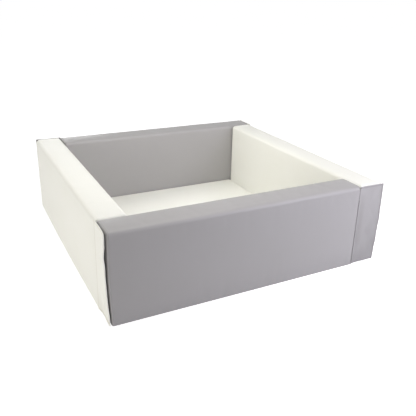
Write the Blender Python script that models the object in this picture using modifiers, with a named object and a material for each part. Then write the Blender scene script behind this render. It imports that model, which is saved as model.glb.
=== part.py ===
"""Soft ball pit: four foam walls set in a pinwheel round a foam floor mat.

Each wall is a foam block in a zipped leatherette cover. A flap sewn to one end of the cover
wraps over the end of the next wall, where hook and loop tape holds it. The same wall is used
four times, each a quarter turn on from the last.

Lengths are in metres. X points right, Y away from the front wall and Z up. The origin is the
centre of the pit, on the ground.
"""

import math

import bmesh
import bpy
from mathutils import Matrix, Vector

# Driving sizes of the pit
SIDE = 1.000                      # outer side of the square, over the closed flaps
WALL_HEIGHT = 0.300
WALL_THICKNESS = 0.100
MAT_THICKNESS = 0.030

# Foam and covers
COVER_THICKNESS = 0.0010
WALL_EDGE_RADIUS = 0.013          # along a wall
WALL_END_RADIUS = 0.007           # round its two ends, where the end panels are sewn in
MAT_EDGE_RADIUS = 0.008
OUTER_BULGE = 0.003               # crown of a wall's outer face
TOP_BULGE = 0.002                 # crown of a wall's top
MAT_BULGE = 0.002                 # crown of the mat's top

# Clearances
FIT_GAP = 0.0003                  # between pieces that touch
MAT_CLEARANCE = 0.0005            # between the mat and the walls

# Flaps and hook and loop tape
FLAP_THICKNESS = 0.0016
FLAP_FLOOR_GAP = 0.004            # flap's lower edge above the ground
FLAP_TOP_DROP = 0.001             # flap's upper edge below the wall's top
FLAP_EDGE_DROP = 0.002            # flap's free edge short of the next wall's outer face
TAPE_THICKNESS = 0.0015
TAPE_WIDTH = 0.050
TAPE_HEIGHT = 0.240
TAPE_CORNER_RADIUS = 0.004

# Zips, which lie in a groove under each block
ZIP_END_MARGIN = 0.075            # from the mat's edge to either end of its zip
ZIP_GROOVE_WIDTH = 0.024
ZIP_TAPE_THICKNESS = 0.0008
COIL_WIDTH = 0.0060
COIL_HEIGHT = 0.0024
COIL_SLIT_WIDTH = 0.0014
ZIP_STOP_LENGTH = 0.008
SLIDER_FLOOR_GAP = 0.0005
SLIDER_LENGTH = 0.012
SLIDER_WIDTH = 0.009
SLIDER_PLATE_THICKNESS = 0.0010
SLIDER_WEDGE_LENGTH = 0.004
BRIDGE_LENGTH = 0.006
BRIDGE_WIDTH = 0.002
BRIDGE_BAR_THICKNESS = 0.0008
BRIDGE_LEG_LENGTH = 0.001
PULL_LENGTH = 0.022
PULL_WIDTH = 0.007
PULL_THICKNESS = 0.0010
PULL_BAR_LENGTH = 0.002
PULL_EYE_LENGTH = 0.0035
PULL_EYE_WIDTH = 0.0032
PULL_CORNER_RADIUS = 0.002

# Counts and tolerances
EDGE_SEGMENTS = 3
NOSE_SEGMENTS = 4
LONG_PANELS = 8
TALL_PANELS = 4
MAT_PANELS = 4
SMOOTH_ANGLE = math.radians(40)
SAME_PLACE = 0.000001
QUARTER_TURN = math.radians(90)

# Plan of the front wall, which the other three follow
FACE_Y = -(SIDE - FLAP_THICKNESS) / 2
INNER_HALF = -FACE_Y - WALL_THICKNESS
END_STACK = FLAP_THICKNESS + 2 * TAPE_THICKNESS + 3 * FIT_GAP
COVERED_END_X = -SIDE / 2 + END_STACK
FLAP_END_X = INNER_HALF - FIT_GAP
WALL_LENGTH = FLAP_END_X - COVERED_END_X
WALL_CENTRE = Vector(((FLAP_END_X + COVERED_END_X) / 2, FACE_Y + WALL_THICKNESS / 2, 0))
MAT_SIDE = 2 * (INNER_HALF - MAT_CLEARANCE)
ZIP_LENGTH = MAT_SIDE - 2 * ZIP_END_MARGIN

# The flap's rounded root lies against the rounded end edge of its own wall
ROOT_REACH = WALL_END_RADIUS + FIT_GAP + FLAP_THICKNESS / 2
SEAM_X = FLAP_END_X - WALL_END_RADIUS + math.sqrt(ROOT_REACH ** 2 - WALL_END_RADIUS ** 2)
SEAM = Vector((SEAM_X, FACE_Y, 0))
FLAP_HEIGHT = WALL_HEIGHT - FLAP_FLOOR_GAP - FLAP_TOP_DROP
FLAP_FREE_X = -FACE_Y - FLAP_EDGE_DROP
TAPE_X = (INNER_HALF - FACE_Y) / 2
HOOK_Y = FACE_Y + FLAP_THICKNESS / 2 + FIT_GAP + TAPE_THICKNESS / 2
LOOP_X = COVERED_END_X - FIT_GAP - TAPE_THICKNESS / 2

# Heights of the zip's layers, from the ground up
BRIDGE_Z = SLIDER_FLOOR_GAP
PULL_Z = BRIDGE_Z + BRIDGE_BAR_THICKNESS + FIT_GAP
OUTER_PLATE_Z = PULL_Z + PULL_THICKNESS + FIT_GAP
COIL_Z = OUTER_PLATE_Z + SLIDER_PLATE_THICKNESS + FIT_GAP
ZIP_TAPE_Z = COIL_Z + (COIL_HEIGHT - ZIP_TAPE_THICKNESS) / 2
INNER_PLATE_Z = COIL_Z + COIL_HEIGHT + FIT_GAP
GROOVE_TOP_Z = INNER_PLATE_Z + SLIDER_PLATE_THICKNESS + FIT_GAP
LIP_HEIGHT = ZIP_TAPE_Z - FIT_GAP
COIL_SLIT_LENGTH = ZIP_LENGTH - 2 * ZIP_STOP_LENGTH
SLIDER_X = -COIL_SLIT_LENGTH / 2 + SLIDER_WEDGE_LENGTH / 2 + FIT_GAP

# Colours as linear red, green and blue
GREY = (0.40, 0.39, 0.40)
IVORY = (0.86, 0.84, 0.78)
FOAM = (0.78, 0.76, 0.66)
GREY_TAPE = (0.30, 0.30, 0.31)
IVORY_TAPE = (0.80, 0.78, 0.72)
NICKEL = (0.62, 0.61, 0.58)

# Walls in order of their quarter turns, with cover and tape colours
WALLS = (
    ("front", GREY, GREY_TAPE),
    ("right", IVORY, IVORY_TAPE),
    ("back", GREY, GREY_TAPE),
    ("left", IVORY, IVORY_TAPE),
)


def wave(position, low, high):
    """Rise from nothing at low to 1 midway and back to nothing at high."""
    share = (position - low) / (high - low)
    return math.sin(math.pi * min(max(share, 0), 1))


def spans(edge, axis):
    """Whether an edge's two ends lie apart along an axis."""
    start, end = (vertex.co for vertex in edge.verts)
    return abs(end[axis] - start[axis]) > SAME_PLACE


def even_cuts(length, panels):
    """Places that divide a length about zero into equal panels."""
    return [length * (index / panels - 1 / 2) for index in range(1, panels)]


def round_edges(mesh, edges, radius):
    """Round some edges of a mesh."""
    bmesh.ops.bevel(mesh, geom=edges, offset=radius, offset_type='OFFSET',
                    segments=EDGE_SEGMENTS, profile=0.5, affect='EDGES')


def rounded_block(size, edge_radius, end_radius, cuts=((), (), ())):
    """A box on the ground, rounded along X and then round both ends, and cut along each axis."""
    mesh = bmesh.new()
    bmesh.ops.create_cube(mesh, size=1)
    bmesh.ops.scale(mesh, vec=size, verts=mesh.verts)
    bmesh.ops.translate(mesh, vec=(0, 0, size[2] / 2), verts=mesh.verts)
    round_edges(mesh, [edge for edge in mesh.edges if spans(edge, 0)], edge_radius)
    for end_x in (-size[0] / 2, size[0] / 2):
        rim = []
        for edge in mesh.edges:
            reaches = [abs(vertex.co.x - end_x) for vertex in edge.verts]
            if max(reaches) < SAME_PLACE:
                rim.append(edge)
        round_edges(mesh, rim, end_radius)
    for axis, places in enumerate(cuts):
        for place in places:
            point = Vector((0, 0, 0))
            point[axis] = place
            normal = Vector((0, 0, 0))
            normal[axis] = 1
            everything = mesh.verts[:] + mesh.edges[:] + mesh.faces[:]
            bmesh.ops.bisect_plane(mesh, geom=everything, dist=SAME_PLACE,
                                   plane_co=point, plane_no=normal)
    return mesh


def open_groove(mesh, length, width, depth, closed):
    """Turn the middle of the underside up into a groove, open or closed at its top."""
    under = []
    for face in mesh.faces:
        centre = face.calc_center_median()
        inside = abs(centre.x) < length / 2 and abs(centre.y) < width / 2
        if inside and abs(centre.z) < SAME_PLACE:
            under.append(face)
    bmesh.ops.delete(mesh, geom=under, context='FACES')
    rim = [edge for edge in mesh.edges if edge.is_boundary]
    walls = bmesh.ops.extrude_edge_only(mesh, edges=rim)["geom"]
    raised = [item for item in walls if isinstance(item, bmesh.types.BMVert)]
    bmesh.ops.translate(mesh, vec=(0, 0, depth), verts=raised)
    if closed:
        top = [edge for edge in mesh.edges if edge.is_boundary]
        bmesh.ops.edgeloop_fill(mesh, edges=top)
    bmesh.ops.recalc_face_normals(mesh, faces=mesh.faces)


def new_object(name, mesh):
    """Link a bmesh to the scene as an object and free it."""
    data = bpy.data.meshes.new(name)
    mesh.to_mesh(data)
    mesh.free()
    piece = bpy.data.objects.new(name, data)
    bpy.context.scene.collection.objects.link(piece)
    return piece


def finished_mesh(piece):
    """Apply an object's modifiers, remove the object and return its mesh."""
    view = bpy.context.evaluated_depsgraph_get()
    data = bpy.data.meshes.new_from_object(piece.evaluated_get(view))
    bpy.data.objects.remove(piece)
    return data


def box(size, centre, corner_radius=0, corner_axis=2):
    """A box, with the four edges along one axis rounded where a radius is given."""
    mesh = bmesh.new()
    bmesh.ops.create_cube(mesh, size=1)
    bmesh.ops.scale(mesh, vec=size, verts=mesh.verts)
    if corner_radius > 0:
        corner_edges = [edge for edge in mesh.edges if spans(edge, corner_axis)]
        round_edges(mesh, corner_edges, corner_radius)
    bmesh.ops.translate(mesh, vec=centre, verts=mesh.verts)
    return mesh


def layer_box(length, width, bottom, top, centre_x=0):
    """A box given by its plan and the heights of its two faces."""
    return box((length, width, top - bottom), (centre_x, 0, (top + bottom) / 2))


def combined(name, first, others):
    """Join boxes to the first one, or cut them out of it, and return the finished mesh."""
    body = new_object(name, first)
    tools = []
    for operation, mesh in others:
        tool = new_object(name + "_tool", mesh)
        change = body.modifiers.new(operation, 'BOOLEAN')
        change.operation = operation
        change.object = tool
        tools.append(tool)
    data = finished_mesh(body)
    for tool in tools:
        bpy.data.objects.remove(tool)
    return data


def cover_from(mesh):
    """Give an open skin the thickness of the cover, on its inner side."""
    skin = new_object("skin", mesh)
    wall = skin.modifiers.new("thickness", 'SOLIDIFY')
    wall.solidify_mode = 'NON_MANIFOLD'
    wall.nonmanifold_thickness_mode = 'CONSTRAINTS'
    wall.thickness = COVER_THICKNESS
    wall.offset = -1
    return finished_mesh(skin)


def crown(mesh, size, edge_radius, end_radius, outer_bulge, top_bulge):
    """Swell the outer face, at low Y, and the top of a rounded block."""
    length, width, height = size
    half_flat_width = width / 2 - edge_radius
    for vertex in mesh.verts:
        x, y, z = vertex.co
        along = wave(x, end_radius - length / 2, length / 2 - end_radius)
        if abs(y + width / 2) < SAME_PLACE:
            vertex.co.y -= outer_bulge * along * wave(z, edge_radius, height - edge_radius)
        if abs(z - height) < SAME_PLACE:
            vertex.co.z += top_bulge * along * wave(y, -half_flat_width, half_flat_width)


def wall_cover():
    """Leatherette cover of a wall, open along the zip under it."""
    size = (WALL_LENGTH, WALL_THICKNESS, WALL_HEIGHT)
    flat_length = WALL_LENGTH - 2 * WALL_END_RADIUS
    flat_height = WALL_HEIGHT - 2 * WALL_EDGE_RADIUS
    zip_ends = [-ZIP_LENGTH / 2, ZIP_LENGTH / 2]
    groove_sides = [-ZIP_GROOVE_WIDTH / 2, ZIP_GROOVE_WIDTH / 2]
    up_cuts = [WALL_HEIGHT / 2 + place for place in even_cuts(flat_height, TALL_PANELS)]
    cuts = (even_cuts(flat_length, LONG_PANELS) + zip_ends, groove_sides, up_cuts)
    mesh = rounded_block(size, WALL_EDGE_RADIUS, WALL_END_RADIUS, cuts)
    crown(mesh, size, WALL_EDGE_RADIUS, WALL_END_RADIUS, OUTER_BULGE, TOP_BULGE)
    open_groove(mesh, ZIP_LENGTH, ZIP_GROOVE_WIDTH, LIP_HEIGHT, closed=False)
    return cover_from(mesh)


def mat_cover():
    """Leatherette cover of the floor mat, open along the zip under it."""
    size = (MAT_SIDE, MAT_SIDE, MAT_THICKNESS)
    flat_side = MAT_SIDE - 2 * MAT_EDGE_RADIUS
    zip_ends = [-ZIP_LENGTH / 2, ZIP_LENGTH / 2]
    groove_sides = [-ZIP_GROOVE_WIDTH / 2, ZIP_GROOVE_WIDTH / 2]
    panels = even_cuts(flat_side, MAT_PANELS)
    cuts = (panels + zip_ends, panels + groove_sides, ())
    mesh = rounded_block(size, MAT_EDGE_RADIUS, MAT_EDGE_RADIUS, cuts)
    crown(mesh, size, MAT_EDGE_RADIUS, MAT_EDGE_RADIUS, 0, MAT_BULGE)
    open_groove(mesh, ZIP_LENGTH, ZIP_GROOVE_WIDTH, LIP_HEIGHT, closed=False)
    return cover_from(mesh)


def foam_core(length, width, height, edge_radius, end_radius):
    """Foam block that fills a cover of these outer sizes, grooved for the zip."""
    inset = COVER_THICKNESS + FIT_GAP
    size = (length - 2 * inset, width - 2 * inset, height - 2 * inset)
    groove_length = ZIP_LENGTH + 2 * inset
    groove_width = ZIP_GROOVE_WIDTH + 2 * inset
    cuts = ([-groove_length / 2, groove_length / 2], [-groove_width / 2, groove_width / 2], ())
    mesh = rounded_block(size, edge_radius - inset, end_radius - inset, cuts)
    open_groove(mesh, groove_length, groove_width, GROOVE_TOP_Z - inset, closed=True)
    bmesh.ops.translate(mesh, vec=(0, 0, inset), verts=mesh.verts)
    return finished_mesh(new_object("foam", mesh))


def flap():
    """Flap with its rounded root on the seam and its free end over the next wall."""
    root_radius = FLAP_THICKNESS / 2
    length = FLAP_FREE_X - SEAM_X + root_radius
    mesh = box((length, FLAP_THICKNESS, FLAP_HEIGHT), (length / 2 - root_radius, 0, 0))
    root_edges = []
    for edge in mesh.edges:
        start, end = edge.verts[0].co, edge.verts[1].co
        upright = abs(end.z - start.z) > SAME_PLACE
        if upright and abs(start.x + root_radius) < SAME_PLACE:
            root_edges.append(edge)
    bmesh.ops.bevel(mesh, geom=root_edges, offset=root_radius - SAME_PLACE,
                    offset_type='OFFSET', segments=NOSE_SEGMENTS, profile=0.5, affect='EDGES')
    bmesh.ops.translate(mesh, vec=(0, 0, FLAP_FLOOR_GAP + FLAP_HEIGHT / 2), verts=mesh.verts)
    return finished_mesh(new_object("flap", mesh))


def tape_strip(thickness_axis):
    """Strip of hook or loop tape that stands upright, with rounded corners."""
    size = [TAPE_WIDTH, TAPE_WIDTH, TAPE_HEIGHT]
    size[thickness_axis] = TAPE_THICKNESS
    mesh = box(size, (0, 0, WALL_HEIGHT / 2), TAPE_CORNER_RADIUS, thickness_axis)
    return finished_mesh(new_object("tape", mesh))


def zip_chain():
    """Closed zip: tape with the coil along its middle and the slit where the slider runs."""
    tape_length = ZIP_LENGTH + 2 * COVER_THICKNESS
    tape_width = ZIP_GROOVE_WIDTH + 2 * COVER_THICKNESS
    tape = layer_box(tape_length, tape_width, ZIP_TAPE_Z, ZIP_TAPE_Z + ZIP_TAPE_THICKNESS)
    coil_top = COIL_Z + COIL_HEIGHT
    coil = layer_box(ZIP_LENGTH - ZIP_STOP_LENGTH, COIL_WIDTH, COIL_Z, coil_top)
    slit = layer_box(COIL_SLIT_LENGTH, COIL_SLIT_WIDTH, COIL_Z - FIT_GAP, coil_top + FIT_GAP)
    return combined("zip_chain", tape, [('UNION', coil), ('DIFFERENCE', slit)])


def zip_slider():
    """Slider: a plate each side of the coil, a wedge in the slit and a bridge for the pull."""
    outer_top = OUTER_PLATE_Z + SLIDER_PLATE_THICKNESS
    inner_top = INNER_PLATE_Z + SLIDER_PLATE_THICKNESS
    outer = layer_box(SLIDER_LENGTH, SLIDER_WIDTH, OUTER_PLATE_Z, outer_top)
    inner = layer_box(SLIDER_LENGTH, SLIDER_WIDTH, INNER_PLATE_Z, inner_top)
    wedge_width = COIL_SLIT_WIDTH - 2 * FIT_GAP
    wedge = layer_box(SLIDER_WEDGE_LENGTH, wedge_width, outer_top - FIT_GAP, INNER_PLATE_Z + FIT_GAP)
    bar = layer_box(BRIDGE_LENGTH, BRIDGE_WIDTH, BRIDGE_Z, BRIDGE_Z + BRIDGE_BAR_THICKNESS)
    leg_x = (BRIDGE_LENGTH - BRIDGE_LEG_LENGTH) / 2
    joins = [('UNION', wedge), ('UNION', inner)]
    for side in (-1, 1):
        leg = layer_box(BRIDGE_LEG_LENGTH, BRIDGE_WIDTH, BRIDGE_Z, OUTER_PLATE_Z + FIT_GAP,
                        side * leg_x)
        joins.append(('UNION', leg))
    joins.append(('UNION', bar))
    return combined("zip_slider", outer, joins)


def zip_pull():
    """Pull tab that lies flat in the groove, its eye round one leg of the bridge."""
    size = (PULL_LENGTH, PULL_WIDTH, PULL_THICKNESS)
    start_x = -PULL_BAR_LENGTH / 2
    centre = (start_x + PULL_LENGTH / 2, 0, PULL_Z + PULL_THICKNESS / 2)
    tab = box(size, centre, PULL_CORNER_RADIUS)
    eye_x = start_x + PULL_BAR_LENGTH + PULL_EYE_LENGTH / 2
    eye = layer_box(PULL_EYE_LENGTH, PULL_EYE_WIDTH, PULL_Z - FIT_GAP,
                    PULL_Z + PULL_THICKNESS + FIT_GAP, eye_x)
    return combined("zip_pull", tab, [('DIFFERENCE', eye)])


def finish(piece, colour, roughness, metallic=0):
    """Give a piece a material of its own."""
    material = bpy.data.materials.new(piece.name)
    material.use_nodes = True
    shader = material.node_tree.nodes["Principled BSDF"]
    shader.inputs["Base Color"].default_value = (*colour, 1)
    shader.inputs["Roughness"].default_value = roughness
    shader.inputs["Metallic"].default_value = metallic
    piece.data.materials.clear()
    piece.data.materials.append(material)


def attach(piece, carrier):
    """Parent a piece to its carrier and leave it where it is."""
    bpy.context.view_layer.update()
    piece.parent = carrier
    piece.matrix_parent_inverse = carrier.matrix_world.inverted()


def turned(point, turns):
    """A place on the front wall carried round the pit by quarter turns."""
    return Matrix.Rotation(turns * QUARTER_TURN, 4, 'Z') @ point


def add_piece(collection, name, mesh, place, turns, carrier, look):
    """Add one named piece, placed on the front wall and carried round by quarter turns."""
    piece = bpy.data.objects.new(name, mesh.copy())
    piece.data.shade_smooth()
    piece.data.set_sharp_from_angle(angle=SMOOTH_ANGLE)
    piece.location = turned(place, turns)
    piece.rotation_euler.z = turns * QUARTER_TURN
    collection.objects.link(piece)
    attach(piece, carrier)
    finish(piece, *look)
    return piece


def add_frame(collection, name, place, carrier=None):
    """Add the empty that carries one moving assembly, on its joint."""
    frame = bpy.data.objects.new(name, None)
    frame.empty_display_size = WALL_THICKNESS
    frame.location = place
    collection.objects.link(frame)
    if carrier:
        attach(frame, carrier)
    return frame


def add_zip(collection, name, place, turns, carrier, meshes):
    """Add a zip under a block, with its slider and pull at the closed end."""
    along = Vector((SLIDER_X, 0, 0))
    add_piece(collection, name + "_zip_chain", meshes["chain"], place, turns, carrier,
              (GREY_TAPE, 0.6))
    slider = add_piece(collection, name + "_zip_slider", meshes["slider"], place + along, turns,
                       carrier, (NICKEL, 0.3, 1))
    add_piece(collection, name + "_zip_pull", meshes["pull"], place + along, turns, slider,
              (NICKEL, 0.3, 1))


def add_wall(collection, wall, turns, carrier, flap_carrier, meshes):
    """Add a wall with its zip, and its flap on the assembly that the flap holds to."""
    name, cover_colour, tape_colour = wall
    add_piece(collection, name + "_foam_core", meshes["core"], WALL_CENTRE, turns, carrier,
              (FOAM, 0.9))
    add_piece(collection, name + "_cover", meshes["cover"], WALL_CENTRE, turns, carrier,
              (cover_colour, 0.45))
    loop_place = Vector((LOOP_X, WALL_CENTRE.y, 0))
    add_piece(collection, name + "_loop_tape", meshes["loop_tape"], loop_place, turns, carrier,
              (tape_colour, 0.95))
    add_zip(collection, name, WALL_CENTRE, turns, carrier, meshes)
    own_flap = add_piece(collection, name + "_flap", meshes["flap"], SEAM, turns, flap_carrier,
                         (cover_colour, 0.45))
    add_piece(collection, name + "_hook_tape", meshes["hook_tape"], Vector((TAPE_X, HOOK_Y, 0)),
              turns, own_flap, (tape_colour, 0.8))


def add_mat(collection, carrier, meshes):
    """Add the floor mat with its zip."""
    centre = Vector((0, 0, 0))
    add_piece(collection, "mat_foam_core", meshes["mat_core"], centre, 0, carrier, (FOAM, 0.9))
    add_piece(collection, "mat_cover", meshes["mat_cover"], centre, 0, carrier, (IVORY, 0.45))
    add_zip(collection, "mat", centre, 0, carrier, meshes)


def build():
    """Model the pit and gather it in one collection."""
    for old in list(bpy.data.objects):
        bpy.data.objects.remove(old)
    pit = bpy.data.collections.new("ball_pit")
    bpy.context.scene.collection.children.link(pit)

    meshes = {
        "core": foam_core(WALL_LENGTH, WALL_THICKNESS, WALL_HEIGHT, WALL_EDGE_RADIUS,
                          WALL_END_RADIUS),
        "cover": wall_cover(),
        "mat_core": foam_core(MAT_SIDE, MAT_SIDE, MAT_THICKNESS, MAT_EDGE_RADIUS,
                              MAT_EDGE_RADIUS),
        "mat_cover": mat_cover(),
        "flap": flap(),
        "hook_tape": tape_strip(1),
        "loop_tape": tape_strip(0),
        "chain": zip_chain(),
        "slider": zip_slider(),
        "pull": zip_pull(),
    }

    front, right, back, left = range(len(WALLS))
    back_frame = add_frame(pit, "back_wall_frame", turned(WALL_CENTRE, back))
    left_frame = add_frame(pit, "left_wall_hinge", turned(SEAM, back), back_frame)
    front_frame = add_frame(pit, "front_wall_hinge", turned(SEAM, left), left_frame)
    right_frame = add_frame(pit, "right_wall_slide", turned(WALL_CENTRE, right), back_frame)
    mat_frame = add_frame(pit, "floor_mat_lift", Vector((0, 0, 0)), back_frame)

    carriers = {front: front_frame, right: right_frame, back: back_frame, left: left_frame}
    flap_carriers = {front: front_frame, right: right_frame, back: left_frame, left: front_frame}
    for turns, wall in enumerate(WALLS):
        add_wall(pit, wall, turns, carriers[turns], flap_carriers[turns], meshes)
    add_mat(pit, mat_frame, meshes)
    for mesh in meshes.values():
        bpy.data.meshes.remove(mesh)


build()
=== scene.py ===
"""Looks of the soft ball pit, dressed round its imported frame.

Each wall is a foam block in a padded leatherette cover with a zip under it. A flap is sewn to
one end of the cover, and its hook tape holds to the loop tape on the next wall. Every piece of a
wall is modelled at the front of the pit and then turned to its own side, by quarter turns.

Lengths are in metres. X points right, Y away from the front wall and Z up.
"""

import math

import bpy
import numpy as np
from mathutils import Matrix, Vector, noise


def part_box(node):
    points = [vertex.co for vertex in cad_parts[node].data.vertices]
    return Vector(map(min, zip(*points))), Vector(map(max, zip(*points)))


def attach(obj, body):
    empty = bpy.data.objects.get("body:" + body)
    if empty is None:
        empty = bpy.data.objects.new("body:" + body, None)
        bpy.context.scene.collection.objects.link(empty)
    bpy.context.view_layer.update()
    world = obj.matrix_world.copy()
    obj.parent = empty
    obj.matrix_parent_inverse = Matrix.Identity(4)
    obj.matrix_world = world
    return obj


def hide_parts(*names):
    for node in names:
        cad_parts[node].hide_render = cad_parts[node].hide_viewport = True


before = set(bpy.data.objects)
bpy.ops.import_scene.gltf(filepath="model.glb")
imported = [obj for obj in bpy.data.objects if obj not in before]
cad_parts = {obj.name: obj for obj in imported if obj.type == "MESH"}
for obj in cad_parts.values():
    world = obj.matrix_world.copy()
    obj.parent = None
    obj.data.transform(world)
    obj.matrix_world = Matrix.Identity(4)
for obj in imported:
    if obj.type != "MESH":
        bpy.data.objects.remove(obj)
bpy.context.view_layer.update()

# The camera that took the photograph
PHOTO_WIDTH_PX = 416
FOCAL_LENGTH_PX = 526.78
SENSOR_WIDTH_MM = 36
CAMERA_PLACE = Vector((-0.8437, -1.7464, 0.9223))
CAMERA_AZIMUTH = math.radians(-27.5987)
CAMERA_ELEVATION = math.radians(20.8082)
CAMERA_ROLL = math.radians(1.5411)
UPWARD_SHIFT = -0.05              # the photograph is cropped from a taller one

# Covers
OUTER_TOP_RADIUS = 0.015          # along the outer top edge of a wall
INNER_TOP_RADIUS = 0.012
FOOT_RADIUS = 0.006               # along its two lower edges
END_EDGE_RADIUS = 0.007           # round its two ends
MAT_SIDE_RADIUS = 0.012           # the mat's four upright edges
MAT_RIM_RADIUS = 0.008
FOAM_INSET = 0.0013               # foam's surface inside the cover's
WALL_PANEL = 0.011                # spacing of the mesh on the walls
MAT_PANEL = 0.016
OUTER_CROWN = 0.0038              # how far each face of a wall swells
INNER_CROWN = 0.0010
TOP_CROWN = 0.0022
MAT_CROWN = 0.0026
FULLNESS_CAP = 1.7                # how flat the foam keeps the middle of a swollen face
SWELL_PRESSURE = 4
SWELL_STRETCH = 0.006             # how much larger than its mesh the cloth is
SWELL_FRAMES = 20
SWELL_QUALITY = 5
EDGE_LEAN = 0.4                   # on a rounded edge a normal leans at least so far both ways
INWARD_LEAN = 0.3                 # on an inner face a normal leans at least so far inwards
DOWNWARD_LEAN = 0.9               # and on an underside at least so far down
UNDULATION = 0.0006
UNDULATION_LENGTH = 0.16
UNDULATION_REACH = 0.05           # it fades in over this length from a wall's ends
MAT_UNDULATION_REACH = 0.08
INNER_UNDULATION_SHARE = 0.4      # the inner face lies flatter
FOOT_BULGE_HEIGHT = 0.20          # below this height a wall's outer face leans out to its foot

# The end of a wall that the next wall's flap covers: tucked in at its foot, swollen above
END_TUCK = 0.0045
END_TUCK_HEIGHT = 0.13
END_SWELL = 0.0012
END_SWELL_FOOT = 0.6 * END_TUCK_HEIGHT
END_SWELL_TOP = 0.295
END_SWELL_RISE = 0.10
END_SWELL_FALL = 0.08
END_LIE_REACH = 0.06

# The other end of a wall, which butts on the next one and is slack at its inner side
BUTT_REACH = 0.05
BUTT_SLOPE = 1.6                  # the slack is gone at 1 / 1.6 of the wall's thickness

# Foam blocks, which stay clear of the covers
FOAM_PLAY = 0.0022
FOAM_EDGE_RADIUS = 0.014
FOAM_END_RADIUS = 0.008
FOAM_GROOVE_MARGIN = 0.002
FOAM_GROOVE_HEIGHT = 0.0085

# Seams between a cover's sleeve and its end panels
SEAM_INSET = 0.0060
SEAM_DEPTH = 0.00025
SEAM_LIP = 0.0002
SEAM_CUTS = (0.0008, 0.0017, 0.0032)
PUCKER_LENGTH = 0.014
PUCKER_SHARE = 0.4                # how unevenly puckers make a seam lie
COVER_SEAM_SHADE = 0.25            # how dark the painted shade in a seam's groove is, from 0 to 1
# how dark the painted shade along a flap's hems and in the groove at its root is, from 0 to 1
FLAP_EDGE_SHADE = 0.9

# Flaps
FLAP_PANEL = 0.006
HEM_WIDTH = 0.0045
HEM_RISE = 0.00045
HEM_CHANNEL_DEPTH = 0.00045
HEM_CUTS = (0.0006, 0.0014)
HEM_SHADE = 0.0022                # painted shade along a hem's channel, drawn wider than real, so that it shows
ROOT_SHADE = 0.0045
ROOT_SHADE_FADE = 10              # how fast the painted shade line at the root ends above the dip
FOOT_SHADE_HEIGHT = 0.34                # below this height a flap has painted shade, darker towards its foot
FOOT_SHADE_PATCH_LENGTH = 0.05
FOOT_SHADE_PATCHINESS = 0.35
FLAP_EDGE_ROUND = 0.0005
FLAP_WAVE = 0.0034
FLAP_WAVE_LENGTH = 0.050
FLAP_WAVE_INWARDS = 0.0005        # more would press into the wall
FLAP_WAVE_START = 0.02            # the waves fade in over this length from the root
FLAP_LIE_START = 0.03
SPLAY_START_SHARE = 0.55          # a flap splays beyond this share of its length
DIP_START, DIP_DEEPEST, DIP_END = 0.0008, 0.0045, 0.028
DIP_TOP_EASE = 0.03
ROOT_FILL_FOOT = 0.245            # above this height a wall is drawn flush with its flap
ROOT_FILL_FOOT_EASE = 0.02
ROOT_FILL_TOP = 0.282
ROOT_FILL_TOP_EASE = 0.01
ROOT_FILL_REACH = 0.006
ROOT_FILL_DEPTH = 0.004
ROOT_CLEARANCE = 0.0002

# Stitches, drawn a little thicker than real thread so that they show
STITCH_PITCH = 0.0042
STITCH_LENGTH = 0.0034
STITCH_WIDTH = 0.0008
STITCH_START = 0.004              # from the flap's root
STITCH_ROUNDING = 0.4 * STITCH_WIDTH

# Hook and loop tape, drawn coarser than real so that it shows
TAPE_BACKING = 0.0006
TAPE_CORNER_RADIUS = 0.004
TAPE_BARE_EDGE = 0.003            # without hooks or loops, both edges together
TAPE_SINK = 0.0001                # how far hooks and loops stand in the backing
HOOK_TAPE_PANEL = 0.008
HOOK_PITCH = 0.0030
HOOK_WIDTH = 0.00045
# A hook's bends: outwards, as a share of the room over its strip, and upwards in metres
HOOK_STEPS = ((0.55, 0), (0.40, 0.00025), (0.02, 0.00045), (-0.30, 0.00035))
LOOP_TAPE_PANEL = 0.02
LOOP_PITCH = 0.0026
LOOP_RADIUS = 0.00070
LOOP_STRAND = 0.00018
LOOP_TILT = math.radians(35)
LOOP_DISORDER = 0.0006
LOOP_DISORDER_LENGTH = 0.004

# Zips
COVER_GROOVE_MARGIN = -0.001      # the cover laps over the edges of the zip's tape
ZIP_GROOVE_HEIGHT = 0.0086
GROOVE_EDGE = 0.0012
UNDERSIDE_REACH = 0.001           # seams raise parts of an underside by less than this
ZIP_SLIT = 0.0014
ZIP_BARE_END = 0.008              # length of tape beyond the teeth
TOOTH_PITCH = 0.0025
TOOTH_LENGTH = 0.0016
TOOTH_BEVEL = 0.0004
COIL_WIDTH = 0.0060
STOP_CLEARANCE = 0.0005
STOP_LENGTH = 0.0035
STOP_BEVEL = 0.0006
ZIP_TAPE_THICKNESS = 0.0008
ZIP_TAPE_ROUNDING = 0.0002
ZIP_TAPE_PANEL = 0.02

# Seeds of the noise, to which a wall's number of quarter turns is added
COVER_SEED = 1
SEAM_SEED = 5
MAT_SEED = 11
MAT_SEAM_SEED = 12
FLAP_SEED = 20
LOOP_SEEDS = (31, 37)
FOOT_SHADE_SEED = 40

SAME_PLACE = 0.00001
QUARTER_TURN = math.radians(90)
X, Y, Z = range(3)

# Places in the CAD, at the front of the pit
WALL_END_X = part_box("front_loop_tape")[0].x
FLAP_LOW, FLAP_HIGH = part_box("front_flap")
FLAP_PLANE_Y = (FLAP_LOW.y + FLAP_HIGH.y) / 2
FLAP_ROOT_X = FLAP_LOW.x + (FLAP_HIGH.y - FLAP_LOW.y) / 2
FLAP_LENGTH = FLAP_HIGH.x - FLAP_ROOT_X
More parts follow.
